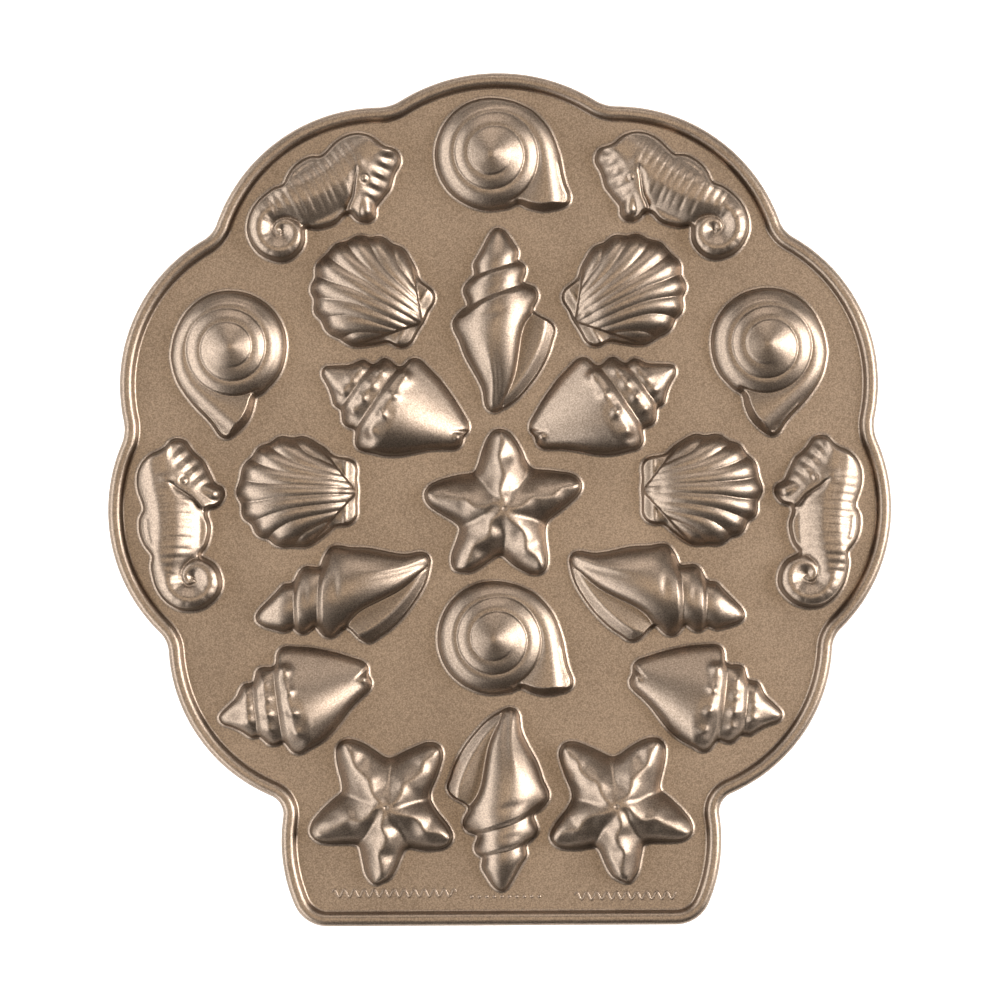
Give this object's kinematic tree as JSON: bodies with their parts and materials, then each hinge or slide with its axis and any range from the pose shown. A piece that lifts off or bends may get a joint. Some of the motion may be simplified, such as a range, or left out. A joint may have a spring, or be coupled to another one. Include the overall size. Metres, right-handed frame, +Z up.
{
  "type": "cakelet pan",
  "caption": "Shallow cast tray with shell, starfish, sea snail and seahorse shaped cups for small cakes, domes up, with a thick lobed rim that it rests on.",
  "frame": {"origin": "middle of the footprint, on the plane that the rim's lip lies on", "axes": "+Z up, the way the domes of the cups point; +Y along the longest side, from the straight base to the rounded top; +X to the right of it, seen from the dome side"},
  "size_m": [0.3132, 0.341, 0.019],
  "materials": {
    "pan_metal": "satin, bronze-coloured coating on a fine cast skin"
  },
  "bodies": {
    "root": {"deck_plate": "pan_metal", "rim_bead": "pan_metal", "snail_mould_top": "pan_metal", "snail_mould_left": "pan_metal", "snail_mould_right": "pan_metal", "snail_mould_lower": "pan_metal", "seahorse_mould_upper_left": "pan_metal", "seahorse_mould_upper_right": "pan_metal", "seahorse_mould_left": "pan_metal", "seahorse_mould_right": "pan_metal", "scallop_mould_upper_left": "pan_metal", "scallop_mould_upper_right": "pan_metal", "scallop_mould_lower_left": "pan_metal", "scallop_mould_lower_right": "pan_metal", "whelk_mould_centre": "pan_metal", "whelk_mould_lower_left": "pan_metal", "whelk_mould_lower_right": "pan_metal", "whelk_mould_bottom": "pan_metal", "conch_mould_upper_left": "pan_metal", "conch_mould_upper_right": "pan_metal", "conch_mould_lower_left": "pan_metal", "conch_mould_lower_right": "pan_metal", "starfish_mould_centre": "pan_metal", "starfish_mould_bottom_left": "pan_metal", "starfish_mould_bottom_right": "pan_metal", "base_ornament": "pan_metal"}
  },
  "joints": []
}
